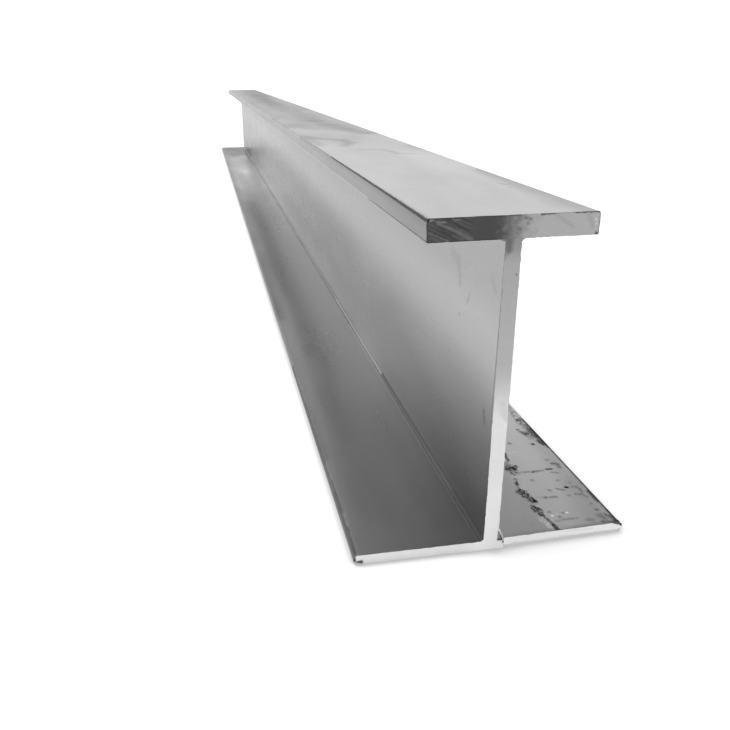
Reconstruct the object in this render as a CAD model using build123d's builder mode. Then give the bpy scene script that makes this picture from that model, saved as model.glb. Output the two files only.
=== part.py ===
"""Steel I-beam with a narrow, thick top flange and a wide, thin bottom flange, sawn to length.

Units are millimetres. The section lies in the XZ plane and the bar runs along Y.
The origin is the middle of the underside, half way along the bar.
"""

import os

from build123d import *

# Section
section_depth = 245.0
top_flange_width = 114.0
top_flange_thickness = 15.0
bottom_flange_width = 208.0
bottom_flange_thickness = 7.5
web_thickness = 11.0

# The rolls left the web a little to the left of the flanges' middle
web_offset = -2.0

# Corners of the section: the four roots beside the web, and the flanges' toes
root_radius = 3.0
top_toe_upper_radius = 1.8
top_toe_lower_radius = 0.8
bottom_toe_radius = 3.0

# Cut length of the bar
bar_length = 3000.0

# Near end, which the saw left out of square: the foot of the web stands out furthest
top_flange_setback = 2.0
left_toe_setback = 3.5
right_outstand_setback = 1.6
right_arris_chamfer = 1.7

# Lip that the first saw pass left across the right-hand root, where the second one stopped
lip_run = 4.6
lip_rise = 10.5
lip_depth = 3.5
lip_bulge = 0.7

# Torn pocket inside the lip
pocket_wall = 1.0
pocket_sink = 0.7
pocket_depth = 2.6

right_web_face = web_offset + web_thickness / 2
top_of_bottom_flange = bottom_flange_thickness
underside_of_top_flange = section_depth - top_flange_thickness


def cross_section():
    """The I shape with its root fillets and rounded toes, standing on the sketch's X axis."""
    from_middle_up = (Align.CENTER, Align.MIN)
    from_middle_down = (Align.CENTER, Align.MAX)
    with BuildSketch(Plane.XZ) as section:
        Rectangle(bottom_flange_width, bottom_flange_thickness, align=from_middle_up)
        with Locations((web_offset, 0)):
            Rectangle(web_thickness, section_depth, align=from_middle_up)
        with Locations((0, section_depth)):
            Rectangle(top_flange_width, top_flange_thickness, align=from_middle_down)

        underside, ledge, soffit, top = section.vertices().group_by(Axis.Y)
        lower_roots = ledge.sort_by(Axis.X)[1:3]
        upper_roots = soffit.sort_by(Axis.X)[1:3]
        ledge_toes = ledge.sort_by(Axis.X)[::3]
        soffit_toes = soffit.sort_by(Axis.X)[::3]
        fillet(lower_roots + upper_roots, root_radius)
        fillet(underside + ledge_toes, bottom_toe_radius)
        fillet(soffit_toes, top_toe_lower_radius)
        fillet(top, top_toe_upper_radius)
    return section.sketch


def root_wedge(corner_x, corner_z, run, rise):
    """Wedge in the right-hand root: up the web and out over the flange from its inner corner."""
    head = (corner_x, corner_z + rise)
    toe = (corner_x + run, corner_z)
    middle = (corner_x + run / 2 + lip_bulge, corner_z + rise / 2 + lip_bulge)
    with BuildSketch(near_end) as wedge:
        with BuildLine():
            Polyline(head, (corner_x, corner_z), toe)
            ThreePointArc(toe, middle, head)
        make_face()
    return wedge.sketch


os.makedirs("parts", exist_ok=True)

# The near end's plane faces -Y, with X to the right and its own Y up
near_end = Plane.XZ.offset(bar_length / 2)
saw_line = -bar_length / 2
step_start = right_web_face + lip_run
half_top = top_flange_width / 2
half_bottom = bottom_flange_width / 2

beam_section = cross_section()
lip = root_wedge(right_web_face, top_of_bottom_flange, lip_run, lip_rise)
pocket = root_wedge(
    right_web_face - pocket_sink,
    top_of_bottom_flange - pocket_sink,
    lip_run - pocket_wall + pocket_sink,
    lip_rise - 2 * pocket_wall + pocket_sink,
)

with BuildPart() as i_beam:
    # Bar
    extrude(beam_section, amount=bar_length / 2, both=True)

    # Lip across the root
    extrude(lip, amount=-lip_depth)

    # Saw cut leaning back from the foot of the web to the top flange
    with BuildSketch(Plane.YZ):
        with BuildLine():
            Polyline(
                (saw_line, 0),
                (saw_line, section_depth),
                (saw_line + top_flange_setback, section_depth),
                (saw_line + top_flange_setback, underside_of_top_flange),
                close=True,
            )
        make_face()
    extrude(amount=half_top, both=True, mode=Mode.SUBTRACT)

    # Saw cut running back from the foot of the web to the left-hand toe
    with BuildSketch():
        with BuildLine():
            Polyline(
                (step_start, saw_line),
                (-half_bottom, saw_line),
                (-half_bottom, saw_line + left_toe_setback),
                close=True,
            )
        make_face()
    extrude(amount=underside_of_top_flange, mode=Mode.SUBTRACT)

    # Step back to the second pass, over the right-hand outstand, and its broken lower arris
    stepped_line = saw_line + right_outstand_setback
    with BuildSketch(Plane.YZ.offset(step_start)):
        with BuildLine():
            Polyline(
                (saw_line, 0),
                (saw_line, top_of_bottom_flange),
                (stepped_line, top_of_bottom_flange),
                (stepped_line, right_arris_chamfer),
                (stepped_line + right_arris_chamfer, 0),
                close=True,
            )
        make_face()
    extrude(amount=half_bottom - step_start, mode=Mode.SUBTRACT)

    # Torn pocket
    extrude(pocket, amount=-pocket_depth, mode=Mode.SUBTRACT)

i_beam.part.label = "i_beam"
export_step(i_beam.part, "parts/i_beam.step")
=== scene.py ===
import math

import bmesh
import bpy
from mathutils import Matrix, Vector


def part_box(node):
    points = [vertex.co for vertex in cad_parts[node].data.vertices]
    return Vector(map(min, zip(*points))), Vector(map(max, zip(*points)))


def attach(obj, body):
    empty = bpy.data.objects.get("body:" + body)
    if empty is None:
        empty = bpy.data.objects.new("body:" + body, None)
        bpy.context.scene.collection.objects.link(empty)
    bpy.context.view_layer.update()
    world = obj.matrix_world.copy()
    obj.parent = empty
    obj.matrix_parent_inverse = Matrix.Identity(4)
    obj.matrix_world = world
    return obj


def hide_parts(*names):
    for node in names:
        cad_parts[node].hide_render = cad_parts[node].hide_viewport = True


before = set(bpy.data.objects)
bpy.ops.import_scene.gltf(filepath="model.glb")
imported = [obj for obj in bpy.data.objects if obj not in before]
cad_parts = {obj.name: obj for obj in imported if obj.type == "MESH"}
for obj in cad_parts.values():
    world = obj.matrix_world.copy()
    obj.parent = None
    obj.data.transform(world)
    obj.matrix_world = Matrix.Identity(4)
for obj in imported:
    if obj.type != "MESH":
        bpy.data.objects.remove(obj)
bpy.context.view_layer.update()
low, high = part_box("i_beam")
mm = 0.001

# Section
near, far = low.y, high.y
left_toe, right_toe = low.x, high.x
depth = high.z
ledge = 7.5 * mm
soffit = depth - 15 * mm
top_half_width = 57 * mm
web_left, web_right = -7.5 * mm, 3.5 * mm
web_lean = 1.8 * mm
root_radius = 3 * mm
bottom_toe_radius = 3 * mm
top_toe_upper_radius = 1.8 * mm
top_toe_lower_radius = 0.8 * mm

# Near end, as the saw left it
top_flange_end = near + 2 * mm
left_toe_end = near + 3.5 * mm
right_outstand_end = near + 1.6 * mm
broken_arris = 1.7 * mm
step_start = web_right + 4.6 * mm
lip_rise = 10.5 * mm
lip_depth = 3.5 * mm
lip_bulge_profile = 0.33
pocket_sink = 0.7 * mm
pocket_run = 4.3 * mm
pocket_rise = 9.2 * mm
pocket_depth = 2.6 * mm
chip_run, chip_rise, chip_depth = 7 * mm, 2.6 * mm, 3 * mm
burr_run, burr_depth, burr_radius = 4.2 * mm, 4.3 * mm, 2.6 * mm
burr_foot, burr_head = 3.6 * mm, ledge + 0.3 * mm
sawn_zone = 6 * mm
ragged_step = 2.5 * mm
ragged_reach = 0.28 * mm

# How far the cutting blocks reach past the beam, and the width of the band of painted shade on the web
clear = 10 * mm
shade_band_width = 25 * mm


# Modelling helpers

def deselect_all():
    if bpy.context.object and bpy.context.object.mode != "OBJECT":
        bpy.ops.object.mode_set(mode="OBJECT")
    bpy.ops.object.select_all(action="DESELECT")


def edit(piece):
    deselect_all()
    piece.select_set(True)
    bpy.context.view_layer.objects.active = piece
    bpy.ops.object.mode_set(mode="EDIT")


def done():
    bpy.ops.object.mode_set(mode="OBJECT")


def block(name, corner, opposite):
    """A cube primitive stretched between two corners, with its place in its mesh."""
    deselect_all()
    a, b = Vector(corner), Vector(opposite)
    bpy.ops.mesh.primitive_cube_add(size=1, location=(a + b) / 2)
    piece = bpy.context.object
    piece.name = piece.data.name = name
    piece.scale = b - a
    bpy.ops.object.transform_apply(location=True, rotation=True, scale=True)
    return piece


def pick(piece, kind, wanted):
    """In edit mode, selects the corners, edges or faces that pass the test, and counts them.

    The test gets a corner's place, an edge's middle and direction, or a face's centre and normal.
    """
    bpy.ops.mesh.select_mode(type=kind)
    bpy.ops.mesh.select_all(action="DESELECT")
    mesh = bmesh.from_edit_mesh(piece.data)
    found = 0
    if kind == "VERT":
        described = [(v, (v.co,)) for v in mesh.verts]
    elif kind == "EDGE":
        described = [
            (e, ((e.verts[0].co + e.verts[1].co) / 2, (e.verts[1].co - e.verts[0].co).normalized()))
            for e in mesh.edges
        ]
    else:
        described = [(f, (f.calc_center_median(), f.normal)) for f in mesh.faces]
    for element, description in described:
        if wanted(*description):
            element.select_set(True)
            found += 1
    bmesh.update_edit_mesh(piece.data)
    return found


def beside(a, b, reach=1e-5):
    return abs(a - b) < reach


def slice_all(point, normal):
    bpy.ops.mesh.select_all(action="SELECT")
    bpy.ops.mesh.bisect(plane_co=point, plane_no=normal, use_fill=False)


def pull_corners(piece, wanted, by):
    edit(piece)
    pick(piece, "VERT", wanted)
    bpy.ops.transform.translate(value=by)
    done()


def combine(piece, tool, operation):
    """Cuts the tool out of the piece, or joins it on, and removes the tool."""
    deselect_all()
    piece.select_set(True)
    bpy.context.view_layer.objects.active = piece
    modifier = piece.modifiers.new(operation.title(), "BOOLEAN")
    modifier.operation = operation
    modifier.solver = "EXACT"
    modifier.object = tool
    bpy.ops.object.modifier_apply(modifier=modifier.name)
    bpy.data.objects.remove(tool)


# Beam

def rolled_bar():
    """The bar as it left the rolls: web, flanges pulled out sideways, roots and toes rounded."""
    bar = block("rolled_beam", (web_left, near, 0), (web_right, far, depth))
    edit(bar)
    for height in (ledge, soffit):
        slice_all((0, 0, height), (0, 0, 1))
    pick(bar, "VERT", lambda c: c.z > soffit - mm)
    bpy.ops.transform.translate(value=(web_lean, 0, 0))
    head_left, head_right = web_left + web_lean, web_right + web_lean
    for in_flange, side, reach in (
        (lambda z: z < ledge, -1, web_left - left_toe),
        (lambda z: z < ledge, 1, right_toe - web_right),
        (lambda z: z > soffit, -1, head_left + top_half_width),
        (lambda z: z > soffit, 1, top_half_width - head_right),
    ):
        pick(bar, "FACE", lambda c, n: n.x * side > 0.9 and in_flange(c.z))
        bpy.ops.mesh.extrude_region_move(TRANSFORM_OT_translate={"value": (side * reach, 0, 0)})

    def at_root(c):
        at_foot = beside(c.z, ledge) and (beside(c.x, web_left) or beside(c.x, web_right))
        at_head = beside(c.z, soffit) and (beside(c.x, head_left) or beside(c.x, head_right))
        return at_foot or at_head

    def at_bottom_toe(c):
        return beside(c.x, left_toe) or beside(c.x, right_toe)

    def at_top_toe(height):
        return lambda c: beside(abs(c.x), top_half_width) and beside(c.z, height)

    for radius, steps, place in (
        (root_radius, 6, at_root),
        (bottom_toe_radius, 6, at_bottom_toe),
        (top_toe_upper_radius, 5, at_top_toe(depth)),
        (top_toe_lower_radius, 3, at_top_toe(soffit)),
    ):
        pick(bar, "EDGE", lambda c, d: abs(d.y) > 0.99 and place(c))
        bpy.ops.mesh.bevel(
            offset=radius, segments=steps, profile=0.5, affect="EDGES", clamp_overlap=False
        )
    done()
    return bar


def root_wedge(name, corner, run, rise, front, back):
    """A block in the right-hand root, its outer upper edge bevelled away to a bulged slope."""
    x, z = corner
    tool = block(name, (x, front, z), (x + run, back, z + rise))
    edit(tool)
    pick(tool, "EDGE", lambda c, d: abs(d.y) > 0.99 and c.x > x + run / 2 and c.z > z + rise / 2)
    bpy.ops.mesh.bevel(
        offset_pct=100, offset_type="PERCENT", segments=8, profile=lip_bulge_profile, affect="EDGES"
    )
    bpy.ops.mesh.select_all(action="SELECT")
    bpy.ops.mesh.remove_doubles(threshold=1e-6)
    done()
    return tool


def saw_near_end(bar):
    """The three saw passes at the near end, the lip between them and the torn pocket in it."""
    past = near - clear
    combine(bar, root_wedge("lip", (web_right, ledge), step_start - web_right, lip_rise,
                            near, near + lip_depth), "UNION")

    lean = block("lean", (2 * left_toe, past, -clear), (2 * right_toe, near, depth + clear))
    edit(lean)
    for height in (0, soffit):
        slice_all((0, 0, height), (0, 0, 1))
    done()
    pull_corners(lean, lambda c: c.y > past + mm and c.z > soffit - mm, (0, top_flange_end - near, 0))
    combine(bar, lean, "DIFFERENCE")

    skew = block("skew", (left_toe, past, -clear), (step_start, near, soffit))
    pull_corners(skew, lambda c: c.y > past + mm and beside(c.x, left_toe), (0, left_toe_end - near, 0))
    combine(bar, skew, "DIFFERENCE")

    step = block("step", (step_start, past, -broken_arris), (2 * right_toe, right_outstand_end, 2 * ledge))
    edit(step)
    slice_all((0, 0, broken_arris), (0, 0, 1))
    done()
    pull_corners(step, lambda c: c.y > past + mm and c.z < 0, (0, 2 * broken_arris, 0))
    combine(bar, step, "DIFFERENCE")

    corner = (web_right - pocket_sink, ledge - pocket_sink)
    combine(bar, root_wedge("pocket", corner, pocket_run, pocket_rise, past, near + pocket_depth),
            "DIFFERENCE")


def chip_toes(bar):
    """The chip under the left-hand toe and the burr that hooks over the right-hand one."""
    back = left_toe_end + chip_depth
    chip = block("chip", (left_toe - mm, near, -mm), (left_toe + chip_run, back, chip_rise))
    pull_corners(chip, lambda c: c.x > left_toe + mm and c.z > mm, (-2.2 * mm, 0, -1.5 * mm))
    combine(bar, chip, "DIFFERENCE")

    front = near + 0.7 * mm
    burr = block("burr", (right_toe - burr_run, front, burr_foot), (right_toe, front + burr_depth, burr_head))
    edit(burr)
    pick(burr, "EDGE", lambda c, d: abs(d.y) > 0.99 and c.x > right_toe - mm and c.z > ledge)
    bpy.ops.mesh.bevel(offset=burr_radius, segments=6, profile=0.5, affect="EDGES", clamp_overlap=False)
    done()
    pull_corners(burr, lambda c: c.y < near + mm and c.x < right_toe - 3 * mm, (0, mm, 0))
    combine(bar, burr, "UNION")


def ragged_arrises(bar):
    """Divides the sawn end's outline and shakes it a little, so the saw's tearing shows."""
    edit(bar)
    slice_all((0, near + sawn_zone, 0), (0, 1, 0))

    def in_outline(c, d):
        return c.y < near + sawn_zone / 2 and abs(d.y) < 0.7

    edges = {}
    mesh = bmesh.from_edit_mesh(bar.data)
    for edge in mesh.edges:
        cuts = int(edge.calc_length() / ragged_step)
        middle = (edge.verts[0].co + edge.verts[1].co) / 2
        along = (edge.verts[1].co - edge.verts[0].co).normalized()
        if cuts and in_outline(middle, along):
            edges.setdefault(cuts, []).append(middle.copy())
    for cuts, middles in edges.items():
        pick(bar, "EDGE", lambda c, d: in_outline(c, d) and any((c - m).length < 1e-6 for m in middles))
        bpy.ops.mesh.subdivide(number_cuts=cuts)

    # The corners are put in order of their distance from one far place, so every run shakes them alike
    pick(bar, "VERT", lambda c: c.y < near + sawn_zone / 2)
    bpy.context.scene.cursor.location = (0.3711, near - 0.6273, 0.6137)
    bpy.ops.mesh.sort_elements(type="CURSOR_DISTANCE", elements={"VERT"})
    bpy.ops.transform.vertex_random(offset=ragged_reach, uniform=0, normal=0, seed=4)
    bpy.context.scene.cursor.location = (0, 0, 0)
    for axis, limit, side in (
        (0, left_toe, -1), (0, right_toe, 1), (1, near, -1), (2, 0, -1), (2, depth, 1),
    ):
        if pick(bar, "VERT", lambda c: (c[axis] - limit) * side > 0):
            flat = [1, 1, 1]
            flat[axis] = 0
            centre = [0, 0, 0]
            centre[axis] = limit
            bpy.ops.transform.resize(value=flat, center_override=centre)
    done()


# Shader nodes

def node(tree, kind, inputs=None, **settings):
    """Adds a shader node; an input takes a value or the socket that feeds it."""
    made = tree.nodes.new(kind)
    for key, value in settings.items():
        setattr(made, key, value)
    for key, value in (inputs or {}).items():
        if isinstance(value, bpy.types.NodeSocket):
            tree.links.new(value, made.inputs[key])
        else:
            made.inputs[key].default_value = value
    return made


def math_of(tree, operation, a, b=0.0, c=0.0):
    return node(tree, "ShaderNodeMath", {0: a, 1: b, 2: c}, operation=operation).outputs[0]


def vector_of(tree, operation, inputs, output="Vector"):
    return node(tree, "ShaderNodeVectorMath", inputs, operation=operation).outputs[output]


def ramp(tree, value, start, end, low_value=0.0, high_value=1.0):
    """Goes smoothly from one value to another as the input goes from start to end."""
    inputs = {
        "Value": value, "From Min": start, "From Max": end, "To Min": low_value, "To Max": high_value,
    }
    return node(tree, "ShaderNodeMapRange", inputs, interpolation_type="SMOOTHSTEP").outputs["Result"]


def profile(tree, value, stops):
    """Goes smoothly through stops, each a place and the tone there."""
    total = stops[0][1]
    for (start, before), (end, after) in zip(stops, stops[1:]):
        total = math_of(tree, "ADD", ramp(tree, value, start, end, 0.0, after - before), total)
    return total


def blend(tree, share, a, b):
    inputs = {"Factor": share, "A": a, "B": b}
    return node(tree, "ShaderNodeMix", inputs, data_type="FLOAT").outputs["Result"]


def noise_of(tree, position, cells, detail=2.0, roughness=0.5, turn=None):
    """Noise about 0.5, with so many cells a metre along each axis of the turned position."""
    if turn:
        position = node(tree, "ShaderNodeMapping", {"Vector": position, "Rotation": turn}).outputs[0]
    stretched = vector_of(tree, "MULTIPLY", {0: position, 1: cells})
    inputs = {"Vector": stretched, "Scale": 1.0, "Detail": detail, "Roughness": roughness}
    return node(tree, "ShaderNodeTexNoise", inputs).outputs["Fac"]


def new_group(name, inputs, outputs):
    tree = bpy.data.node_groups.new(name, "ShaderNodeTree")
    kinds = {"f": "NodeSocketFloat", "v": "NodeSocketVector"}
    for direction, sockets in (("INPUT", inputs), ("OUTPUT", outputs)):
        for socket, kind in sockets.items():
            tree.interface.new_socket(socket, in_out=direction, socket_type=kinds[kind])
    given = tree.nodes.new("NodeGroupInput").outputs
    result = tree.nodes.new("NodeGroupOutput").inputs
    return tree, given, result


# Shader groups

def mark_group():
    """Lays a mark with a soft, ragged edge on a surface, from one place to another.

    Oxide makes the marked steel less metallic, Broken leaves only crumbs of it, and Lift raises it.
    """
    tree, given, result = new_group(
        "mark",
        {"Tone": "f", "Metal": "f", "Relief": "f", "Position": "v", "Noise": "f", "Crumbs": "f",
         "Start": "v", "End": "v", "Start Width": "f", "End Width": "f", "Soft": "f", "Ragged": "f",
         "Broken": "f", "Strength": "f", "Mark Tone": "f", "Oxide": "f", "Lift": "f"},
        {"Tone": "f", "Metal": "f", "Relief": "f"},
    )
    away = vector_of(tree, "SUBTRACT", {0: given["Position"], 1: given["Start"]})
    run = vector_of(tree, "SUBTRACT", {0: given["End"], 1: given["Start"]})
    along = vector_of(tree, "DOT_PRODUCT", {0: away, 1: run}, "Value")
    length = vector_of(tree, "DOT_PRODUCT", {0: run, 1: run}, "Value")
    share = node(tree, "ShaderNodeClamp", {0: math_of(tree, "DIVIDE", along, length)}).outputs[0]
    nearest = vector_of(tree, "SCALE", {0: run, "Scale": share})
    distance = vector_of(tree, "DISTANCE", {0: away, 1: nearest}, "Value")
    width = blend(tree, share, given["Start Width"], given["End Width"])
    wander = math_of(tree, "MULTIPLY", math_of(tree, "SUBTRACT", given["Noise"], 0.5), given["Ragged"])
    edge = math_of(tree, "ADD", math_of(tree, "DIVIDE", distance, width), wander)
    outside = math_of(tree, "ADD", 1.0, given["Soft"])
    inside = math_of(tree, "SUBTRACT", 1.0, given["Soft"])
    whole = math_of(tree, "MULTIPLY", ramp(tree, edge, outside, inside), given["Strength"])
    mask = math_of(tree, "MULTIPLY", whole, blend(tree, given["Broken"], 1.0, given["Crumbs"]))
    bare = math_of(tree, "SUBTRACT", 1.0, math_of(tree, "MULTIPLY", mask, given["Oxide"]))
    raised = math_of(tree, "MULTIPLY_ADD", mask, given["Lift"], given["Relief"])
    tree.links.new(blend(tree, mask, given["Tone"], given["Mark Tone"]), result["Tone"])
    tree.links.new(math_of(tree, "MULTIPLY", given["Metal"], bare), result["Metal"])
    tree.links.new(raised, result["Relief"])
    return tree


def rolled_grain_group():
    """What rolling leaves on steel: streaks along the bar, soft clouds and a fine tooth."""
    tree, given, result = new_group(
        "rolled_grain",
        {"Position": "v", "Contrast": "f"},
        {"Tone": "f", "Rough": "f", "Height": "f", "Broad": "f", "Middle": "f", "Fine": "f",
         "Crumbs": "f"},
    )
    place = given["Position"]
    streaks = noise_of(tree, place, (150, 6, 150), 2.0)
    clouds = noise_of(tree, place, (22, 7, 22), 4.0)
    broad = noise_of(tree, place, (30, 18, 30), 4.0, 0.6)
    middle = noise_of(tree, place, (190, 120, 190), 4.0, 0.6)
    fine = noise_of(tree, place, (900, 700, 900), 2.0, 0.6)
    cells = vector_of(tree, "MULTIPLY", {0: place, 1: (600, 300, 600)})
    cell = node(tree, "ShaderNodeTexVoronoi", {"Vector": cells, "Scale": 1.0}).outputs["Distance"]
    crumbs = ramp(tree, math_of(tree, "MULTIPLY_ADD", middle, 1.3, cell), 1.30, 1.02)
    height = noise_of(tree, place, (55, 18, 55), 1.0)
    tone = math_of(tree, "MULTIPLY_ADD", streaks, 0.08, -0.04)
    tone = math_of(tree, "ADD", tone, math_of(tree, "MULTIPLY_ADD", clouds, 0.24, -0.12))
    tone = math_of(tree, "ADD", tone, math_of(tree, "MULTIPLY_ADD", middle, 0.12, -0.06))
    tone = math_of(tree, "MULTIPLY_ADD", tone, given["Contrast"], 1.0)
    rough = math_of(tree, "MULTIPLY_ADD", clouds, 0.20, -0.10)
    for name, socket in (
        ("Tone", tone), ("Rough", rough), ("Height", height),
        ("Broad", broad), ("Middle", middle), ("Fine", fine), ("Crumbs", crumbs),
    ):
        tree.links.new(socket, result[name])
    return tree


def saw_lines_group():
    """Fine slanting ridges that a saw blade leaves on an end, as a value about 0.5."""
    tree, given, result = new_group("saw_lines", {"Position": "v"}, {"Lines": "f", "Grit": "f"})
    slant = (0, math.radians(-25.5), 0)
    wide = noise_of(tree, given["Position"], (40, 40, 800), 2.0, 0.5, slant)
    thin = noise_of(tree, given["Position"], (150, 150, 2200), 2.0, 0.5, slant)
    grit = noise_of(tree, given["Position"], (500, 500, 500), 3.0, 0.6)
    tree.links.new(blend(tree, 0.4, wide, thin), result["Lines"])
    tree.links.new(grit, result["Grit"])
    return tree


mark_laid = mark_group()
rolled_grain = rolled_grain_group()
saw_lines = saw_lines_group()


# Marks, with their places in millimetres

def mark(start, end, width, tone, strength=0.8, end_width=None, soft=0.5, ragged=1.0,
         broken=0.0, oxide=0.0, lift=0.0):
    """A mark from one place to another; its edge wanders at the scale of its width."""
    scale = "Broad" if width > 8 else "Middle" if width > 1.6 else "Fine"
    return {
        "Start": [v * mm for v in start], "End": [v * mm for v in end], "Start Width": width * mm,
        "End Width": (end_width or width) * mm, "Soft": soft, "Ragged": ragged, "Broken": broken,
        "Strength": strength, "Mark Tone": tone, "Oxide": oxide, "Lift": lift, "scale": scale,
    }


def spot(place, width, tone, strength=0.8, **more):
    end = (place[0], place[1] + 0.01, place[2] + 0.01)
    return mark(place, end, width, tone, strength, **more)


def chain(places, width, tone, strength=0.8, end_width=None, **more):
    """Marks from each place to the next, with the width running from the first to the last."""
    runs = len(places) - 1
    last = end_width or width
    widths = [width + (last - width) * i / runs for i in range(runs + 1)]
    return [
        mark(places[i], places[i + 1], widths[i], tone, strength, widths[i + 1], **more)
        for i in range(runs)
    ]


def on_top(x, y):
    return (x, y, depth / mm)


def on_web(y, z):
    lean = web_lean * (z * mm - ledge) / (soffit - ledge)
    return ((web_left + lean) / mm, y, z)


def on_ledge(x, y):
    return (x, y, ledge / mm)


def on_end(x, z):
    return (x, top_flange_end / mm, z)


def arris_marks():
    """Dark lines along both arrises of the top flange's left-hand side, thickest near the cut, and a painted
    highlight along the lower one.
    """
    # Settings for the dark arris lines
    scale = {"soft": 0.6, "oxide": 0.95}
    haze = chain([(-57, -900, 243.2), (-57, -1250, 242.6), (-57, -1504, 242.0)],
                 1.4, 0.20, 0.45, 2.8, soft=1.0, ragged=0.8)
    upper = chain([(-56.6, -500, 244.5), (-56.6, -870, 244.4), (-56.7, -1150, 244.3)],
                  0.35, 0.10, 0.6, 0.7, ragged=1.8, **scale)
    thick = chain([(-56.7, -1150, 244.3), (-56.7, -1320, 244.2), (-56.8, -1420, 244.1),
                   (-56.9, -1500, 243.8)], 0.7, 0.035, 0.9, 1.15, ragged=1.8, **scale)
    lower = chain([(-57, -1340, 230.7), (-57, -1420, 230.8), (-57, -1500, 230.8)],
                  0.3, 0.12, 0.6, 0.6, ragged=1.8, **scale)
    # Painted highlight that lightens the lower arris away from the cut
    painted_highlight = [mark((-56.9, 1500, 230.3), (-56.9, -1330, 230.3), 0.9, 0.80, 0.8, ragged=0.0)]
    return haze + upper + thick + lower + painted_highlight


def top_face_marks():
    far_band = chain([on_top(24, 1500), on_top(22, 1100), on_top(14, 750), on_top(6, 400), on_top(2, 0)],
                     40, 0.20, 0.8, 22, soft=0.9, oxide=0.1)
    near_band = chain([on_top(2, 0), on_top(8, -400), on_top(6, -600), on_top(14, -700),
                       on_top(26, -800), on_top(36, -880)], 22, 0.31, 0.65, 13, soft=0.8, oxide=0.1)
    haze = {"soft": 0.8, "ragged": 1.5}
    left_band = chain([on_top(-56, -905), on_top(-45, -940), on_top(-13, -971), on_top(-9, -1008),
                       on_top(-25, -1053)], 12, 0.42, 0.8, 6, **haze)
    cross_band = chain([on_top(-14, -1093), on_top(10, -1099), on_top(17, -1142), on_top(38, -1153)],
                       4, 0.44, 0.6, **haze)
    pale_streak = chain([on_top(-53, -801), on_top(-27, -783), on_top(3, -828), on_top(28, -892)],
                        6, 0.60, 0.5, 7, **haze)
    return far_band + near_band + left_band + cross_band + pale_streak + [
        mark(on_top(12, 640), on_top(16, 920), 28, 0.13, 0.5, soft=0.9, ragged=0.5),
        mark(on_top(60, -1520), on_top(56, -1290), 22, 0.43, 0.8, 8, soft=0.7),
        mark(on_top(48, -1060), on_top(56, -1105), 5, 0.46, 0.6, **haze),
        mark(on_top(-55, -690), on_top(-6, -718), 8, 0.38, 0.5, 6, **haze),
        mark(on_top(-50, -950), on_top(-50, -1040), 6, 0.46, 0.6, **haze),
        mark(on_top(-12, -190), on_top(-8, 0), 12, 0.38, 0.5, **haze),
        mark(on_top(-54, -100), on_top(-50, 160), 8, 0.36, 0.5, 5, **haze),
        spot(on_top(-36, -1282), 2.0, 0.46, 0.5),
        spot(on_top(-37, -1387), 1.3, 0.44, 0.6),
        spot(on_top(-39, -1438), 1.0, 0.42, 0.6),
        spot(on_top(15, -1409), 1.3, 0.45, 0.5),
        spot(on_top(11, -1361), 1.2, 0.46, 0.5),
        mark(on_top(39, -1372), on_top(43, -1380), 0.9, 0.30, 0.7, oxide=0.6),
        spot(on_top(39, -1394), 1.0, 0.34, 0.7, oxide=0.6),
    ]


def web_marks():
    """Faint smears and dots on the web, which show near the cut."""
    smear = {"soft": 0.9, "ragged": 1.2}
    smears = chain([on_web(-1400, 199), on_web(-1415, 196), on_web(-1419, 180)],
                   5.0, 0.40, 0.75, 2.6, **smear)
    return smears + [
        mark(on_web(-1481, 200), on_web(-1488, 194), 3.0, 0.39, 0.6, 2.2, **smear),
        mark(on_web(-1440, 177), on_web(-1436, 170), 2.0, 0.40, 0.7, 1.5, **smear),
        spot(on_web(-1421, 157), 1.3, 0.30, 0.8),
        spot(on_web(-1460, 166), 1.0, 0.40, 0.7),
        spot(on_web(-1462, 152), 0.8, 0.42, 0.6),
        spot(on_web(-1400, 119), 1.5, 0.28, 0.8),
        spot(on_web(-1486, 223), 1.5, 0.36, 0.6),
        mark(on_web(-1482, 105), on_web(-1485, 97), 1.8, 0.20, 0.8, 1.3, soft=0.8, ragged=1.6),
    ]


def root_painted_shade_and_highlights():
    """Painted shade along the left-hand lower root, lighter where a painted highlight runs along a part of
    its length, deepest near the cut, and a painted highlight line on the ledge beside the root.
    """
    even = {"soft": 0.3, "ragged": 0.0}
    return [
        mark((-9.2, -560, 9.2), (-9.2, 900, 9.2), 2.15, 0.185, 1.0, **even),
        mark((-9.2, -880, 9.2), (-9.2, -560, 9.2), 2.15, 0.22, 1.0, **even),
        mark((-9.2, -1040, 9.2), (-9.2, -880, 9.2), 2.15, 0.29, 1.0, **even),
        mark((-9.2, -1175, 9.2), (-9.2, -1040, 9.2), 2.15, 0.40, 1.0, **even),
        mark((-8.5, -1175, 8.5), (-8.5, -1040, 8.5), 1.0, 0.28, 0.9, soft=0.6),
        mark((-9.2, -1440, 9.2), (-9.2, -1178, 9.2), 2.0, 0.28, 1.0, **even),
        mark((-9.2, -1504, 9.2), (-9.2, -1440, 9.2), 2.0, 0.22, 1.0, **even),
        mark((-11.4, -1504, 7.5), (-11.4, -1000, 7.5), 0.9, 0.95, 0.6, ragged=0.0),
        mark((-8.3, -1430, 9.1), (-8.3, -1178, 9.1), 1.4, 0.095, 1.0, soft=0.45, ragged=0.0),
        mark((-8.3, -1504, 9.1), (-8.3, -1430, 9.1), 1.4, 0.072, 1.0, soft=0.45, ragged=0.0),
    ]


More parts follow.
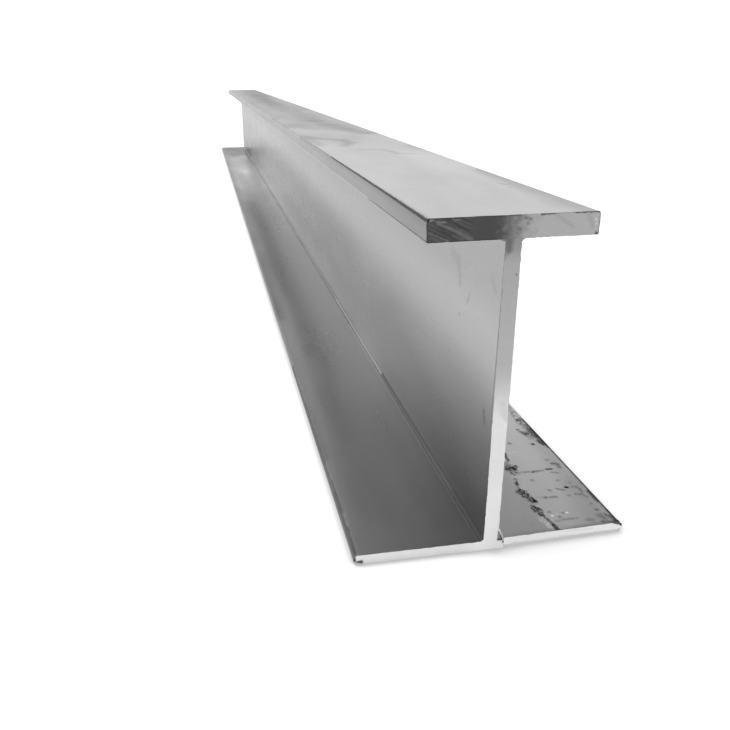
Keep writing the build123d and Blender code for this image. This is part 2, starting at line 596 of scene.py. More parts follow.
def rust_line():
    """Broken line of rust scale along the bottom flange, right of the web."""
    crust = {"oxide": 1.0, "soft": 0.6, "ragged": 2.5, "lift": 1.0}
    return (
        chain([on_ledge(57.5, -1378), on_ledge(56, -1392)], 1.8, 0.09, 0.85, 1.3, broken=0.2, **crust)
        + chain([on_ledge(50.5, -1396), on_ledge(53, -1404), on_ledge(52, -1412)], 4.4, 0.26, 0.5, 3.6,
                soft=0.9, ragged=1.5, oxide=0.8)
        + chain([on_ledge(50.5, -1396), on_ledge(53.8, -1404), on_ledge(53, -1413)], 4.2, 0.06, 0.95, 3.4,
                broken=0.9, **crust)
        + chain([on_ledge(50.1, -1421), on_ledge(48.2, -1429), on_ledge(46.9, -1438)], 1.4, 0.07, 0.85, 1.2,
                broken=0.8, **crust)
        + chain([on_ledge(47.2, -1442), on_ledge(48.4, -1450), on_ledge(49.4, -1458)], 3.0, 0.25, 0.4, 2.8,
                soft=0.9, ragged=1.5, oxide=0.8)
        + chain([on_ledge(47.2, -1442), on_ledge(48.4, -1450), on_ledge(49.6, -1458)], 3.4, 0.05, 1.0, 3.2,
                broken=0.85, **crust)
        + chain([on_ledge(46.3, -1464), on_ledge(47.8, -1471), on_ledge(49, -1477)], 2.4, 0.07, 0.95, 2.0,
                broken=0.85, **crust)
        + chain([on_ledge(50.8, -1467), on_ledge(51.8, -1473)], 0.9, 0.10, 0.8, 0.9, broken=0.5, **crust)
        + chain([on_ledge(49, -1476), on_ledge(50.8, -1484), on_ledge(51.7, -1491)], 1.0, 0.13, 0.8, 1.5,
                broken=0.2, **crust)
        + chain([on_ledge(51.7, -1491), on_ledge(52.6, -1504)], 1.5, 0.06, 0.9, 2.6, broken=0.1, **crust)
    )


def toe_scale():
    """Scale along the right-hand toe, and its dark corner at the cut."""
    crust = {"oxide": 1.0, "soft": 0.7, "ragged": 2.5, "lift": 0.8}
    rim = {"oxide": 1.0, "soft": 0.5, "ragged": 0.8}
    return (
        chain([on_ledge(97, -1228), on_ledge(98, -1318)], 4.5, 0.18, 0.55, 3.4, broken=0.9, **crust)
        + chain([on_ledge(98, -1318), on_ledge(98, -1352)], 3.4, 0.12, 0.8, broken=0.9, **crust)
        + chain([on_ledge(88, -1337), on_ledge(92.5, -1348), on_ledge(94, -1357)], 2.0, 0.15, 0.8, 2.2,
                broken=0.8, **crust)
        + chain([on_ledge(99, -1337), on_ledge(100, -1352), on_ledge(99, -1368)], 3.2, 0.13, 0.7, 2.6,
                soft=0.9, ragged=2.0, oxide=1.0)
        + chain([(103.1, -1226, 6.9), (103.1, -1320, 6.9)], 0.9, 0.20, 0.7, 1.4, **rim)
        + chain([(103.1, -1320, 6.9), (102.9, -1345, 6.9), (102.9, -1376, 6.9)], 2.6, 0.02, 0.95, 2.8, **rim)
        + chain([(102.9, -1376, 6.9), (102.8, -1440, 6.9), (102.6, -1482, 6.9)], 2.2, 0.09, 0.95, **rim)
        + chain([(102.6, -1482, 6.9), (102.4, -1504, 6.9)], 2.2, 0.04, 0.9, 2.8, **rim)
        + [
            mark(on_ledge(97, -1363), on_ledge(99, -1370), 2.0, 0.08, 0.9, 1.6, broken=0.3, **crust),
            spot(on_ledge(89.8, -1368), 1.8, 0.09, 0.9, oxide=1.0, ragged=2.0),
            mark(on_ledge(100.5, -1452), on_ledge(100.8, -1468), 1.4, 0.08, 0.85, 1.7, broken=0.2, **crust),
            mark(on_ledge(97.5, -1484), on_ledge(100.5, -1497), 1.2, 0.07, 0.75, 2.2, broken=0.6, **crust),
            mark((103.8, -1440, 5.4), (103.9, -1504, 5.0), 1.0, 0.05, 0.9, 1.6, **crust),
        ]
    )


def outstand_dots():
    """Thin dotted lines and dots on the right-hand outstand."""
    thin = {"oxide": 0.9, "soft": 0.8, "ragged": 1.5}
    faint = {"oxide": 0.6, "soft": 0.8, "ragged": 1.5}
    bright = {"soft": 0.5, "ragged": 0.6}
    return (
        [
            mark(on_ledge(100, -1350), on_ledge(98, -1440), 10, 0.42, 0.7, 11, soft=0.9),
            mark(on_ledge(98, -1440), on_ledge(90, -1504), 11, 0.40, 0.8, 17, soft=0.9),
        ]
        + chain([on_ledge(55.5, -1413.5), on_ledge(62, -1413.3), on_ledge(69, -1414.3), on_ledge(78, -1414)],
                1.5, 0.15, 0.7, 1.3, broken=0.6, **thin)
        + chain([on_ledge(91.5, -1404.5), on_ledge(95.7, -1406.3), on_ledge(95, -1411.5)],
                2.0, 0.12, 0.85, 1.8, broken=0.5, **thin)
        + chain([on_ledge(90, -1443.8), on_ledge(93.8, -1444.6), on_ledge(95.3, -1448.5),
                 on_ledge(94.6, -1452.5)], 1.2, 0.20, 0.7, 1.2, broken=0.3, **faint)
        + chain([on_ledge(88.5, -1455), on_ledge(93.2, -1455.8), on_ledge(95, -1460)],
                1.5, 0.17, 0.75, 1.4, broken=0.5, **faint)
        + chain([on_ledge(55, -1452.5), on_ledge(62, -1454.3), on_ledge(71, -1455)],
                1.2, 0.22, 0.65, 1.4, broken=0.7, **faint)
        + chain([on_ledge(56, -1487), on_ledge(64, -1486), on_ledge(73, -1486.6)],
                1.3, 0.24, 0.65, 1.2, broken=0.7, **faint)
        + [
            mark(on_ledge(82.4, -1412.8), on_ledge(86.8, -1413.2), 1.3, 0.07, 0.9, 1.2, soft=0.7, oxide=1.0),
            mark(on_ledge(85.2, -1443.3), on_ledge(86.2, -1443.9), 1.5, 0.015, 1.0, 1.4, soft=0.5, oxide=1.0),
            mark(on_ledge(84.5, -1418.6), on_ledge(90, -1421), 1.4, 0.24, 0.7, broken=0.5, **faint),
            mark(on_ledge(77, -1444), on_ledge(82, -1447), 1.2, 0.20, 0.7, **faint),
        ]
        + [
            spot(on_ledge(x, y), width, tone, strength, **faint)
            for x, y, width, tone, strength in (
                (62.8, -1427, 1.8, 0.25, 0.65), (83.6, -1432, 1.6, 0.25, 0.65),
                (70.2, -1445, 1.7, 0.25, 0.65), (69.6, -1362, 1.8, 0.24, 0.65),
                (93.7, -1479, 1.6, 0.13, 0.8), (93.7, -1470.4, 1.3, 0.22, 0.7),
            )
        ]
        + [
            mark(on_ledge(92.6, -1487), on_ledge(93.8, -1491), 2.6, 0.20, 0.7, 2.2, soft=0.9, oxide=0.6),
            mark(on_ledge(80.5, -1490.2), on_ledge(84, -1491), 1.8, 0.26, 0.6, **faint),
            mark(on_ledge(91, -1495), on_ledge(98, -1498), 1.8, 0.10, 0.8, 1.6, broken=0.4, **thin),
        ]
        + [
            spot(on_ledge(x, y), width, tone, strength, **faint)
            for x, y, width, tone, strength in (
                (91.7, -1437.4, 1.5, 0.26, 0.6), (82.2, -1455.6, 1.5, 0.24, 0.65),
                (61, -1482, 1.4, 0.22, 0.7), (56, -1474.3, 1.3, 0.24, 0.7),
                (66, -1477.3, 1.2, 0.24, 0.7), (89.8, -1398, 1.8, 0.24, 0.7),
            )
        ]
        + [
            mark(on_ledge(53, -1498.3), on_ledge(90, -1498.3), 0.5, 0.10, 0.75, 0.6, **thin),
            spot(on_ledge(56.2, -1479.5), 1.3, 1.0, 1.0, **bright),
            spot(on_ledge(69.1, -1477.9), 1.2, 1.0, 1.0, **bright),
            spot(on_ledge(60.8, -1478), 1.0, 0.75, 0.8, **bright),
            mark(on_ledge(60, -1379.3), on_ledge(69, -1378.7), 1.0, 0.75, 0.6, broken=0.6, **bright),
            mark(on_ledge(46.3, -1480), on_ledge(48.4, -1493), 2.2, 0.80, 0.9, 2.6, soft=0.8, ragged=2.5,
                 broken=0.7),
        ]
    )


def left_ledge_marks():
    edge = {"soft": 0.7, "oxide": 0.9}
    return [
        mark(on_ledge(-11.5, 1306), on_ledge(-8, 734), 7, 0.20, 0.8, 1.5, soft=0.8, oxide=0.4),
        mark(on_ledge(-50, 1200), on_ledge(-50, 1520), 50, 0.18, 0.8, 60, soft=0.4, ragged=0.5, oxide=0.35),
        mark(on_ledge(-104, 1150), on_ledge(-104, -950), 12, 0.18, 0.85, 10, soft=0.9, ragged=0.4),
        mark(on_ledge(-104, -950), on_ledge(-104, -1350), 10, 0.30, 0.6, 6, soft=0.9, ragged=0.4),
        mark((-103.4, 800, 6.2), (-103.4, -1130, 6.2), 3.0, 0.16, 0.75, 2.4, soft=0.8, ragged=0.5),
        mark((-103.5, -1130, 5.8), (-103.4, -1504, 5.8), 2.3, 0.12, 0.85, 2.6, ragged=0.6, **edge),
        mark((-102.4, -1230, 7.0), (-102.4, -1410, 6.9), 0.5, 0.10, 0.7, 0.9, ragged=1.8, broken=0.3, **edge),
        mark((-102.4, -1410, 6.9), (-102.2, -1504, 6.9), 0.9, 0.09, 0.8, 1.2, ragged=1.8, **edge),
        mark(on_ledge(-101.8, -1390), on_ledge(-101, -1440), 0.5, 0.10, 0.75, 0.8, ragged=2.5, **edge),
        mark(on_ledge(-99.6, -1428), on_ledge(-99.8, -1468), 0.6, 0.10, 0.7, 0.8, ragged=2.5, broken=0.3,
             **edge),
        mark(on_ledge(-100.8, -1460), on_ledge(-101.6, -1494), 0.6, 0.09, 0.75, 0.9, ragged=2.5, **edge),
        mark(on_ledge(-100, -1497.5), on_ledge(-60, -1499), 0.9, 0.10, 0.8, 0.6, soft=0.7, ragged=1.2),
        mark(on_ledge(-60, -1499), on_ledge(-12, -1500), 0.6, 0.12, 0.6, 0.5, soft=0.7, ragged=1.2),
    ]


def sawn_top_marks():
    """Slanting saw streaks on the dark half of the top flange's end, and its torn arris."""
    streak = {"soft": 0.9, "ragged": 1.6}
    torn = {"soft": 0.7, "ragged": 3.0}
    return (
        chain([on_end(-50.5, 241.7), on_end(-42.4, 238.3), on_end(-36.2, 235.2), on_end(-28.2, 231.0)],
              0.7, 0.15, 0.8, 1.3, **streak)
        + chain([on_end(-40.4, 233.9), on_end(-33.7, 231.2)], 0.5, 0.13, 0.6, 0.7, **streak)
        + chain([on_end(-55.5, 236.1), on_end(-50.3, 234.2), on_end(-43.1, 230.5)], 0.5, 0.14, 0.75, 0.7,
                **streak)
        + chain([on_end(-54.6, 233.2), on_end(-48.3, 230.6)], 0.45, 0.13, 0.7, 0.5, **streak)
        + [
            mark(on_end(-52.3, 235.8), on_end(-44.3, 232.4), 0.5, 0.045, 0.7, **streak),
            mark(on_end(-49.3, 239.7), on_end(-36.2, 233.9), 0.6, 0.055, 0.6, **streak),
            mark(on_end(28, 243), on_end(39, 236), 1.6, 0.33, 0.6, 1.2, **streak),
            mark(on_end(49, 243), on_end(52, 236), 1.5, 0.32, 0.6, 1.2, **streak),
            mark(on_end(-57, 243.4), on_end(-54.8, 245), 1.2, 0.03, 0.9, 0.9, soft=0.7, ragged=1.0),
            mark(on_end(-54.6, 243.7), on_end(-53, 243.9), 0.6, 0.30, 0.85, 0.5, broken=0.3, **torn),
            mark(on_end(-51, 242.8), on_end(-45, 242.1), 0.6, 0.26, 0.8, 0.5, broken=0.6, **torn),
            mark(on_end(-40, 243.2), on_end(-36, 243.5), 0.5, 0.17, 0.8, 0.4, broken=0.6, **torn),
            mark(on_end(-45, 244.2), on_end(-41.5, 244.0), 0.5, 0.04, 0.9, 0.5, **torn),
            mark(on_end(-39.5, 244.8), on_end(-37, 244.6), 0.5, 0.04, 0.9, 0.4, **torn),
            mark(on_end(-24, 244.8), on_end(3, 244.8), 0.35, 0.04, 0.7, 0.4, **torn),
            mark(on_end(6, 242.9), on_end(10.5, 241.6), 0.9, 0.13, 0.75, 0.8, broken=0.4, **torn),
            mark(on_end(2, 236.6), on_end(3.6, 235.8), 1.0, 0.13, 0.7, 0.9, soft=0.9, ragged=2.0),
            spot(on_end(8.5, 239.4), 1.1, 0.16, 0.7, soft=0.9, ragged=2.0),
            mark(on_end(17, 244.5), on_end(26, 244.6), 0.6, 0.06, 0.85, 0.5, **torn),
            mark(on_end(26, 244.8), on_end(40, 244.8), 0.3, 0.12, 0.5, 0.3, **torn),
            mark(on_end(40, 244.7), on_end(57, 244.8), 0.5, 0.05, 0.85, 0.7, **torn),
            spot(on_end(55.2, 231), 1.0, 0.04, 0.9, soft=0.7, ragged=1.2),
            mark(on_end(56.8, 243), on_end(56.9, 231), 0.5, 0.10, 0.6, 0.5, **torn),
            mark(on_end(54, 240), on_end(54.6, 237), 0.8, 0.70, 0.6, 0.6, broken=0.9, **torn),
            mark(on_end(-57, 244.4), on_end(-57, 230), 0.6, 0.045, 0.8, 0.5, soft=0.7),
            mark(on_end(-57, 230.2), on_end(-8, 230.2), 0.4, 0.04, 0.7, 0.35, soft=0.7),
        ]
    )


def sawn_foot_marks():
    hole = {"soft": 0.6, "oxide": 0.95}
    return [
        mark((-3.4, -1498, 230), (-3.2, -1498, 223.6), 2.8, 0.14, 0.9, 2.5, soft=0.8),
        mark((-5.4, -1498, 220), (-6.2, -1498, 216), 1.0, 0.22, 0.7, 0.8, soft=0.8),
        spot((3.2, -1498, 207), 0.9, 0.20, 0.7, soft=0.6),
        # Painted highlight along the web end's left-hand arris
        mark((-7.6, -1500, 30), (-7.6, -1499, 120), 0.5, 0.95, 0.6, 0.4, soft=0.6),
        mark((0, -1499, 117), (3, -1499, 106), 2.4, 0.56, 0.5, 2.0, soft=0.9, ragged=2.0),
        # Painted shade at the chipped left-hand toe
        mark((-101.2, -1496.4, 1.9), (-98.4, -1496.4, 1.8), 1.1, 0.05, 0.9, 1.6, ragged=0.8, **hole),
        mark((-104, -1496.6, 7.5), (-103.5, -1496.6, 3.6), 1.3, 0.05, 0.9, 1.5, ragged=0.6, **hole),
        # Painted shade in the torn pocket: grey at its back, a dark crescent along its upper right-hand wall
        mark((3.6, -1497.2, 14.5), (6.4, -1497.2, 8.0), 2.0, 0.60, 0.95, 2.6, ragged=0.3, **hole),
        mark((3.4, -1497.6, 16.6), (4.4, -1497.6, 15.6), 0.7, 0.05, 0.9, 0.8, ragged=0.3, **hole),
        mark((4.4, -1497.6, 15.8), (6.4, -1497.6, 12.2), 0.7, 0.04, 0.9, 0.9, ragged=0.3, **hole),
        mark((6.4, -1497.6, 12.2), (7.4, -1497.6, 8.0), 0.9, 0.04, 0.9, 0.8, ragged=0.3, **hole),
        mark((3.9, -1500, 17.6), (5.6, -1500, 14.5), 0.6, 0.40, 0.8, 0.7, soft=0.6, ragged=0.6),
        mark((5.6, -1500, 14.5), (7.9, -1500, 8.2), 0.7, 0.40, 0.8, 0.8, soft=0.6, ragged=0.6),
        # A dot of painted shade for a small hole, and a thin line of painted shade down the seam of the step
        spot((7.9, -1500, 5.4), 1.1, 0.03, 0.95, soft=0.4, oxide=1.0, ragged=0.4),
        mark((8.1, -1500, 4.6), (8.3, -1499.8, 2.4), 0.3, 0.20, 0.8, 0.4, soft=0.5, ragged=0.6),
        mark((97, -1498.6, 7.6), (103.2, -1498.6, 6.2), 0.6, 0.05, 0.9, 1.1, ragged=0.6, **hole),
        mark((103.2, -1498.6, 6.2), (103.8, -1498.6, 4.2), 1.1, 0.06, 0.9, 0.5, ragged=0.6, **hole),
        mark((101.5, -1498.4, 1.2), (102.8, -1498.4, 2.0), 0.5, 0.40, 0.7, 0.4, soft=0.7),
        mark((60, -1498.4, 6.0), (80, -1498.4, 5.2), 0.9, 0.74, 0.5, 1.2, soft=0.9, ragged=2.0),
    ]


# Materials

def start_material(name):
    """A material with its shader, the object's coordinates and the same split into axes."""
    material = bpy.data.materials.new(name)
    material.use_nodes = True
    tree = material.node_tree
    shader = tree.nodes["Principled BSDF"]
    shader.inputs["Specular IOR Level"].default_value = 0
    shader.inputs["Specular Tint"].default_value = (0.85, 0.85, 0.85, 1)
    position = node(tree, "ShaderNodeTexCoord").outputs["Object"]
    axes = node(tree, "ShaderNodeSeparateXYZ", {0: position}).outputs
    return material, tree, shader, position, axes


def lay_marks(tree, shader, tone, position, grain, marks):
    """Lays the marks one over the other, feeds the metallic share, and gives tone and relief."""
    metal, relief = 1.0, 0.0
    for each in marks:
        inputs = {"Tone": tone, "Metal": metal, "Relief": relief, "Position": position,
                  "Noise": grain[each["scale"]], "Crumbs": grain["Crumbs"]}
        inputs.update((socket, value) for socket, value in each.items() if socket != "scale")
        laid = node(tree, "ShaderNodeGroup", inputs, node_tree=mark_laid).outputs
        tone, metal, relief = laid["Tone"], laid["Metal"], laid["Relief"]
    if marks:
        tree.links.new(metal, shader.inputs["Metallic"])
    else:
        shader.inputs["Metallic"].default_value = 1
    return tone, relief


def finish_material(tree, shader, tone, rough, reliefs):
    """Feeds the tone as a neutral grey, the roughness and one bump over the other."""
    grey = node(tree, "ShaderNodeCombineColor", {0: tone, 1: tone, 2: tone})
    tree.links.new(grey.outputs[0], shader.inputs["Base Color"])
    tree.links.new(rough, shader.inputs["Roughness"])
    normal = None
    for height, distance in reliefs:
        bump = node(tree, "ShaderNodeBump", {"Height": height, "Distance": distance, "Strength": 1.0})
        if normal:
            tree.links.new(normal, bump.inputs["Normal"])
        normal = bump.outputs["Normal"]
    tree.links.new(normal, shader.inputs["Normal"])


def rolled_steel(name, tone_of, marks, base_rough, contrast, mark_height=0.25 * mm):
    """Bare rolled steel: a tone that changes over the piece, the rolled grain and its marks."""
    material, tree, shader, position, axes = start_material(name)
    inputs = {"Position": position, "Contrast": contrast}
    grain = node(tree, "ShaderNodeGroup", inputs, node_tree=rolled_grain).outputs
    tone, relief = lay_marks(tree, shader, tone_of(tree, axes, grain), position, grain, marks)
    tone = math_of(tree, "MULTIPLY", tone, grain["Tone"])
    rough = math_of(tree, "ADD", grain["Rough"], base_rough)
    finish_material(tree, shader, tone, rough, [(relief, mark_height), (grain["Height"], 0.02 * mm)])
    return material


def mill_top():
    """Upper face of the narrow flange, the brightest rolled face, darker beyond a slanting edge."""
    def tone(tree, axes, grain):
        skewed = math_of(tree, "MULTIPLY_ADD", axes[0], 1.24, axes[1])
        wander = math_of(tree, "MULTIPLY_ADD", grain["Broad"], 0.10, -0.05)
        return profile(tree, math_of(tree, "ADD", skewed, wander), (
            (-1.5, 0.69), (-1.2, 0.74), (-1.0, 0.64), (-0.85, 0.64), (-0.80, 0.51), (-0.3, 0.51),
            (0.1, 0.49), (1.3, 0.56),
        ))
    return rolled_steel("mill_top", tone, arris_marks() + top_face_marks(), 0.36, 0.6)


def web_tone(tree, axes, at_foot):
    """The web's tone by height, from its foot to the narrow flange."""
    return profile(tree, axes[2], (
        (0.01, at_foot), (0.06, 0.48), (0.12, 0.50), (0.165, 0.54), (0.200, 0.46),
    ))


def painted_shade_band(tree, axes, grain):
    """The soft band of painted shade along the web: the share of it in a place, and its tone."""
    height = profile(tree, axes[1], (
        (-1.5, 0.100), (-1.02, 0.112), (-0.3, 0.116), (0.3, 0.106), (0.7, 0.074), (1.3, 0.020),
    ))
    strength = profile(tree, axes[1], (
        (-1.5, 0.35), (-1.1, 0.38), (-0.95, 0.75), (0.2, 0.76), (0.4, 0.90), (1.25, 0.90), (1.4, 0.0),
    ))
    tone = profile(tree, axes[1], ((-1.1, 0.33), (-0.9, 0.29), (0.2, 0.29), (0.4, 0.22)))
    away = math_of(tree, "ABSOLUTE", math_of(tree, "SUBTRACT", axes[2], height))
    wander = math_of(tree, "MULTIPLY_ADD", grain["Broad"], 0.5, -0.25)
    edge = math_of(tree, "MULTIPLY_ADD", away, 1 / shade_band_width, wander)
    return math_of(tree, "MULTIPLY", ramp(tree, edge, 1.9, 0.1), strength), tone


def mill_web():
    """Web's left-hand face, with painted shade low down towards the cut, by the root and in a band along it,
    and the sides of the narrow flange.
    """
    def tone(tree, axes, grain):
        # Painted shade: the web grows darker low down, most near the cut, and darker still beside the root
        # there
        painted_shade_along = profile(tree, axes[1], (
            (-1.46, 1.0), (-1.2, 0.48), (-1.08, 0.34), (-0.9, 0.33), (-0.6, 0.22), (-0.3, 0.17), (0.2, 0.04),
            (0.7, 0.28), (1.3, 0.35),
        ))
        painted_shade_at_cut = math_of(tree, "MULTIPLY", painted_shade_along, ramp(tree, axes[2], 0.15, 0.015))
        low_down = ramp(tree, axes[2], 0.05, 0.008)
        painted_shade_by_root = math_of(tree, "MULTIPLY", ramp(tree, axes[1], -1.13, -1.24), low_down)
        shading = math_of(tree, "MULTIPLY_ADD", painted_shade_at_cut, -0.58, 1.0)
        shading = math_of(tree, "MULTIPLY_ADD", painted_shade_by_root, -0.21, shading)
        # A band of painted shade along the middle of the web
        in_shade_band, shade_band_tone = painted_shade_band(tree, axes, grain)
        shaded = math_of(tree, "MULTIPLY", web_tone(tree, axes, 0.55), shading)
        web = blend(tree, in_shade_band, shaded, shade_band_tone)
        side = profile(tree, axes[1], ((-1.5, 0.30), (-1.3, 0.34), (-0.9, 0.39), (0.2, 0.40)))
        on_side = math_of(tree, "GREATER_THAN", math_of(tree, "ABSOLUTE", axes[0]), top_half_width - mm)
        return blend(tree, on_side, web, side)
    marks = arris_marks() + root_painted_shade_and_highlights() + web_marks()
    return rolled_steel("mill_web", tone, marks, 0.27, 0.7)


def mill_hidden():
    """Web's right-hand face and both flanges' undersides, which the picture doesn't show."""
    def tone(tree, axes, grain):
        return web_tone(tree, axes, 0.46)
    return rolled_steel("mill_hidden", tone, [], 0.30, 0.9)


def mill_foot():
    """Wide flange left of the web, its tone along the bar carrying painted light and shade, darker towards
    its toe.
    """
    def tone(tree, axes, grain):
        # Tone with painted light and shade: lighter and darker stretches along the ledge, by the root and by
        # the toe
        tone_and_painted_light_by_root = profile(tree, axes[1], (
            (-1.5, 0.49), (-1.36, 0.54), (-1.1, 0.68), (-0.3, 0.66), (0.1, 0.78), (0.3, 0.90), (0.6, 0.80),
            (0.95, 0.42), (1.2, 0.26), (1.4, 0.20),
        ))
        tone_and_painted_light_by_toe = profile(tree, axes[1], (
            (-1.5, 0.55), (-1.1, 0.53), (-0.6, 0.33), (0.0, 0.21), (0.08, 0.37), (0.3, 0.46), (0.9, 0.40),
            (1.2, 0.24), (1.24, 0.16),
        ))
        beside_root = ramp(tree, axes[0], -0.034, -0.011)
        # Painted highlight beside the root near the cut
        painted_highlight = math_of(tree, "MULTIPLY", beside_root, ramp(tree, axes[1], -1.1, -1.4))
        tone_and_painted_light_by_root = math_of(tree, "MULTIPLY", tone_and_painted_light_by_root, math_of(tree, "MULTIPLY_ADD", painted_highlight, 0.3, 1.0))
        return blend(tree, ramp(tree, axes[0], -0.084, -0.042), tone_and_painted_light_by_toe, tone_and_painted_light_by_root)
    return rolled_steel("mill_foot", tone, root_painted_shade_and_highlights() + left_ledge_marks(), 0.30, 0.8)


def mill_outstand():
    """Wide flange right of the web, brighter beyond the rust line."""
    def tone(tree, axes, grain):
        return ramp(tree, axes[0], 0.046, 0.050, 0.45, 0.57)
    marks = outstand_dots() + rust_line() + toe_scale()
    return rolled_steel("mill_outstand", tone, marks, 0.30, 1.0)


def sawn_steel(name, tone_of, marks, line_contrast):
    """A sawn end: slanting saw lines and grit over a tone that changes over the piece."""
    material, tree, shader, position, axes = start_material(name)
    inputs = {"Position": position, "Contrast": 0.5}
    grain = node(tree, "ShaderNodeGroup", inputs, node_tree=rolled_grain).outputs
    cut = node(tree, "ShaderNodeGroup", {"Position": position}, node_tree=saw_lines).outputs
    tone, relief = lay_marks(tree, shader, tone_of(tree, axes, grain, cut), position, grain, marks)
    lines = math_of(tree, "MULTIPLY_ADD", cut["Lines"], line_contrast, 1 - line_contrast / 2)
    tone = math_of(tree, "MULTIPLY", tone, lines)
    tone = math_of(tree, "MULTIPLY", tone, math_of(tree, "MULTIPLY_ADD", cut["Grit"], 0.12, 0.94))
    rough = math_of(tree, "MULTIPLY_ADD", cut["Lines"], 0.15, 0.24)
    finish_material(tree, shader, tone, rough, [(cut["Lines"], 0.05 * mm), (cut["Grit"], 0.03 * mm)])
    return material


def sawn_foot():
    """Fresh cut across the web and the wide flange, with painted reflection: bright below, darker up the web,
    brighter right of the step.
    """
    def tone(tree, axes, grain, cut):
        # Painted reflection: bright low on the cut, darker up the web
        up = profile(tree, axes[2], (
            (0.0, 0.88), (0.012, 0.84), (0.045, 0.84), (0.065, 0.77), (0.10, 0.75), (0.15, 0.43),
            (0.212, 0.38), (0.228, 0.27),
        ))
        # Painted light: brighter right of the step, a little darker towards the left-hand toe
        across = profile(tree, axes[0], ((-0.03, 0.92), (-0.0075, 1.02), (0.0079, 1.02), (0.0085, 1.22)))
        return math_of(tree, "MULTIPLY", up, across)
    return sawn_steel("sawn_foot", tone, sawn_foot_marks(), 0.10)


def sawn_top():
    """End of the narrow flange: dark and streaked left of the web, grey right of it."""
    def tone(tree, axes, grain, cut):
        height = math_of(tree, "SUBTRACT", axes[2], 0.2375)
        slanted = math_of(tree, "MULTIPLY_ADD", height, -0.15, axes[0])
        wander = math_of(tree, "MULTIPLY_ADD", grain["Middle"], 0.022, -0.011)
        dark_to_grey = ramp(tree, math_of(tree, "ADD", slanted, wander), -0.014, 0.019, 0.072, 0.40)
        streaked = ramp(tree, axes[0], -0.020, -0.034, 0.0, 2.2)
        streaks = math_of(tree, "MULTIPLY", math_of(tree, "SUBTRACT", cut["Lines"], 0.48), streaked)
        return math_of(tree, "MULTIPLY", dark_to_grey, math_of(tree, "ADD", streaks, 1.0))
    return sawn_steel("sawn_top", tone, sawn_top_marks(), 0.15)


def sawn_far():
    """The plain cut at the far end."""
    def tone(tree, axes, grain, cut):
        return ramp(tree, axes[2], 0.02, 0.24, 0.55, 0.42)
    return sawn_steel("sawn_far", tone, [], 0.3)


finishes = {
    "top": mill_top(), "web": mill_web(), "foot": mill_foot(), "outstand": mill_outstand(),
    "sawn foot": sawn_foot(), "sawn top": sawn_top(), "sawn far": sawn_far(), "hidden": mill_hidden(),
}


def finish_for(centre, normal):
    """The finish of a face, by its place on the beam."""
    sawn = abs(normal.y) > 0.3
    if sawn and centre.y > 0:
        return "sawn far"
    if sawn:
        return "sawn top" if centre.z > soffit else "sawn foot"
    if centre.z > soffit and normal.z > 0.05:
        return "top"
    above_ledge = centre.z > ledge + root_radius / 2
    if normal.z < -0.5 or above_ledge and 0 < centre.x < top_half_width / 2:
        return "hidden"
    if above_ledge:
        return "web"
    return "outstand" if centre.x > web_right else "foot"


beam = rolled_bar()
saw_near_end(beam)
chip_toes(beam)
ragged_arrises(beam)
deselect_all()
beam.select_set(True)
bpy.context.view_layer.objects.active = beam
bpy.ops.object.shade_smooth_by_angle(angle=math.radians(30))
beam.data.materials.clear()
for finish in finishes.values():
    beam.data.materials.append(finish)
finish_names = list(finishes)
for face in beam.data.polygons:
    face.material_index = finish_names.index(finish_for(face.center, face.normal))

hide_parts("i_beam")
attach(beam, "root")


# Floor, light and camera

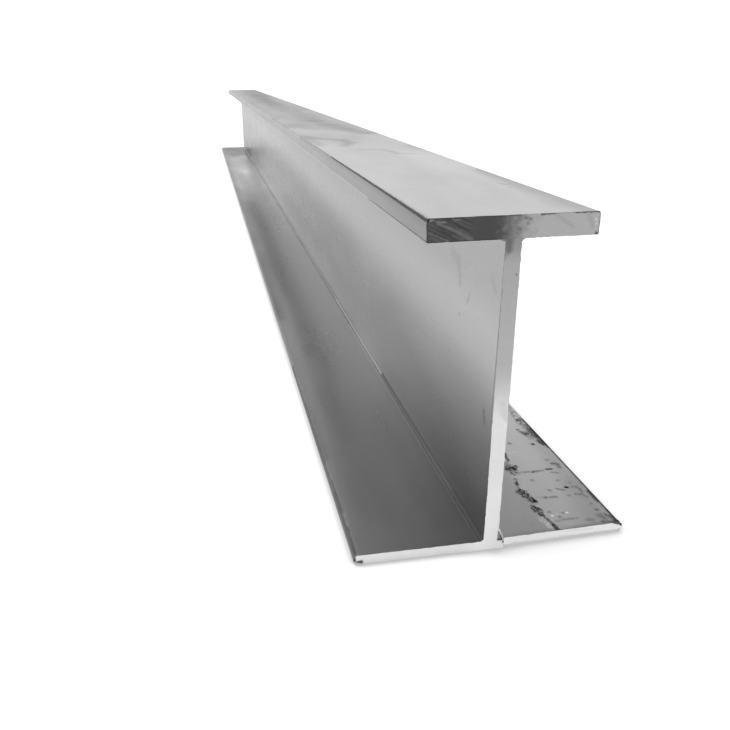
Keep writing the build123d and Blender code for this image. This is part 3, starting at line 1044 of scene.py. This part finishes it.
def floor():
    """Matt floor that shows white, except close to the beam, where its soft shadow stays."""
    floor_tone, shadow_reach = 0.5, 0.03
    deselect_all()
    bpy.ops.mesh.primitive_plane_add(size=60)
    ground = bpy.context.object
    ground.name = ground.data.name = "floor"
    paint = bpy.data.materials.new("white_floor")
    paint.use_nodes = True
    tree = paint.node_tree
    shader = tree.nodes["Principled BSDF"]
    shader.inputs["Base Color"].default_value = (floor_tone, floor_tone, floor_tone, 1)
    shader.inputs["Roughness"].default_value = 1
    shader.inputs["Specular IOR Level"].default_value = 0
    rays = node(tree, "ShaderNodeLightPath").outputs
    reflected = math_of(tree, "ADD", rays["Is Glossy Ray"], rays["Is Transmission Ray"])
    open_sky = node(tree, "ShaderNodeAmbientOcclusion", {"Distance": shadow_reach}).outputs["AO"]
    beside_beam = ramp(tree, open_sky, 0.5, 1.0, 0.25, 0.75)
    seen = math_of(tree, "MULTIPLY", rays["Is Camera Ray"], beside_beam)
    glow = math_of(tree, "MULTIPLY_ADD", reflected, 0.5, seen)
    white = node(tree, "ShaderNodeEmission", {"Strength": glow})
    both = node(tree, "ShaderNodeAddShader", {0: shader.outputs[0], 1: white.outputs[0]})
    tree.links.new(both.outputs[0], tree.nodes["Material Output"].inputs["Surface"])
    ground.data.materials.append(paint)


def studio_light():
    """White walls all round under a dim ceiling, and a broad soft lamp that metal doesn't mirror."""
    world = bpy.data.worlds.new("studio")
    bpy.context.scene.world = world
    world.use_nodes = True
    tree = world.node_tree
    heading = node(tree, "ShaderNodeTexCoord").outputs["Generated"]
    height = node(tree, "ShaderNodeSeparateXYZ", {0: heading}).outputs[2]
    strength = ramp(tree, height, 0.26, 0.62, 1.2, 0.28)
    background = tree.nodes["Background"]
    background.inputs["Color"].default_value = (1, 1, 1, 1)
    tree.links.new(strength, background.inputs["Strength"])

    lamp = bpy.data.lights.new("soft_lamp", "SUN")
    lamp.energy = 2.0
    lamp.angle = math.radians(50)
    placed = bpy.data.objects.new("soft_lamp", lamp)
    bpy.context.collection.objects.link(placed)
    towards_lamp = Vector((-0.35, 0.45, 1))
    placed.matrix_world = towards_lamp.to_track_quat("Z", "Y").to_matrix().to_4x4()
    placed.visible_glossy = False


def camera():
    """The photograph's viewpoint, as fitted to the beam's own edges."""
    data = bpy.data.cameras.new("camera")
    data.lens = 36.079
    data.sensor_width = 36
    data.clip_start, data.clip_end = 0.05, 200
    view = bpy.data.objects.new("camera", data)
    bpy.context.collection.objects.link(view)
    viewpoint = Vector((-0.1843, -1.91932, 0.32832))
    right = Vector((0.978017, -0.208488, -0.00407))
    ahead = Vector((0.191742, 0.906792, -0.37545))
    up = Vector((0.081967, 0.366416, 0.926834))
    turned = Matrix((right, up, -ahead)).transposed().to_4x4()
    view.matrix_world = Matrix.Translation(viewpoint) @ turned
    bpy.context.scene.camera = view


floor()
studio_light()
camera()
bpy.context.scene.view_settings.view_transform = "Standard"
